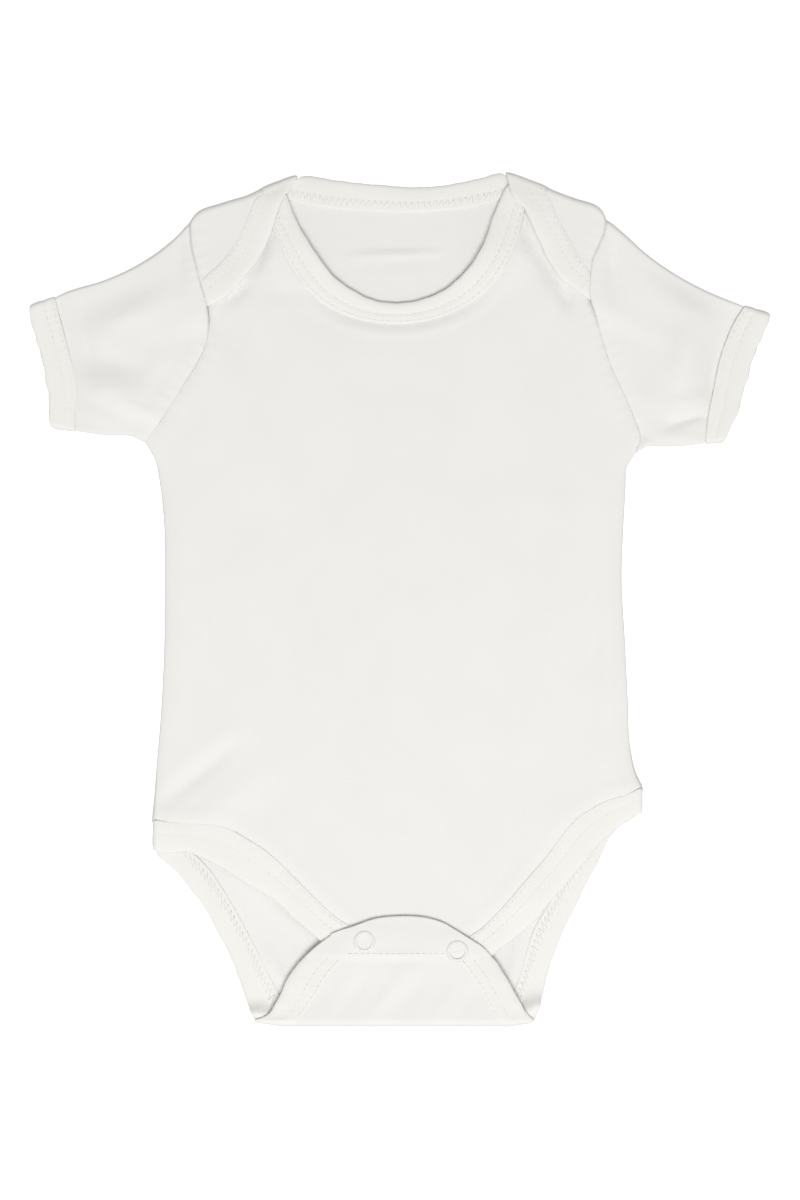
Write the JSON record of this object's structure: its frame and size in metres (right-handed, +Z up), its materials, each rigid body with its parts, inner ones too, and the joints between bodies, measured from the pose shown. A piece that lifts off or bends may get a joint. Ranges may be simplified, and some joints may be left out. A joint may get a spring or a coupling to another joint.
{
  "type": "baby bodysuit",
  "caption": "Short-sleeved baby bodysuit with lap shoulders, bound edges and a snap crotch flap, laid flat with its front up.",
  "frame": {"origin": "on the surface the garment lies on, below the middle of its outline", "axes": "+X towards the sleeve at the picture's right, +Y towards the neck, +Z up out of the garment's front"},
  "size_m": [0.3248, 0.375, 0.0078],
  "materials": {
    "cotton_interlock": "matt off-white interlock knit",
    "cotton_rib": "matt off-white fine rib, folded in two",
    "snap_enamel": "satin off-white ring snap"
  },
  "bodies": {
    "root": {"back_panel": "cotton_interlock", "front_panel": "cotton_interlock", "sleeve_left": "cotton_interlock", "sleeve_right": "cotton_interlock", "cuff_binding_left": "cotton_rib", "cuff_binding_right": "cotton_rib", "neck_binding_front": "cotton_rib", "neck_binding_back": "cotton_rib", "leg_binding_left": "cotton_rib", "leg_binding_right": "cotton_rib", "snap_cap_left": "snap_enamel", "snap_cap_right": "snap_enamel", "snap_stud_left": "snap_enamel", "snap_stud_right": "snap_enamel"}
  },
  "joints": []
}
